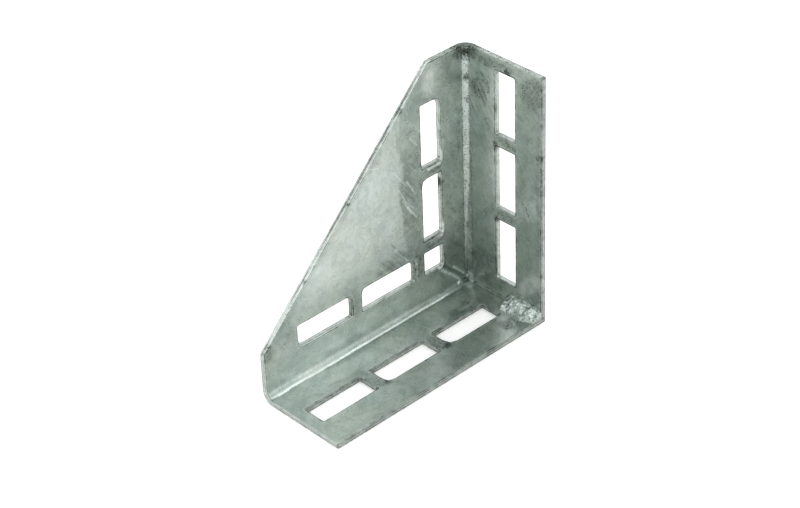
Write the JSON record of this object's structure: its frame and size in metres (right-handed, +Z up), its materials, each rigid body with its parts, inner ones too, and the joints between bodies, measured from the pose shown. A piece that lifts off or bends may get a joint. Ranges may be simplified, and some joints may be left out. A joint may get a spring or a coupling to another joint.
{
  "type": "gusset plate",
  "caption": "Right-angled gusset bracket folded from galvanised sheet: a slotted web with a sloping edge, two slotted flanges, and a fillet weld where the flanges meet.",
  "frame": {"origin": "outer corner of the plate, where the planes of the web's back, the base flange's underside and the side flange's outer face meet", "axes": "+X along the base flange, +Z up the side flange, +Y from the web's back towards the flanges' free edges"},
  "size_m": [0.15, 0.057, 0.15],
  "materials": {
    "galvanised_sheet": "hot-dip galvanised, mottled grey-green zinc with faint runs and scratches",
    "galvanised_weld": "rough weld bead under a lumpy zinc coat"
  },
  "bodies": {
    "root": {"folded_plate": "galvanised_sheet", "corner_weld": "galvanised_weld"}
  },
  "joints": []
}
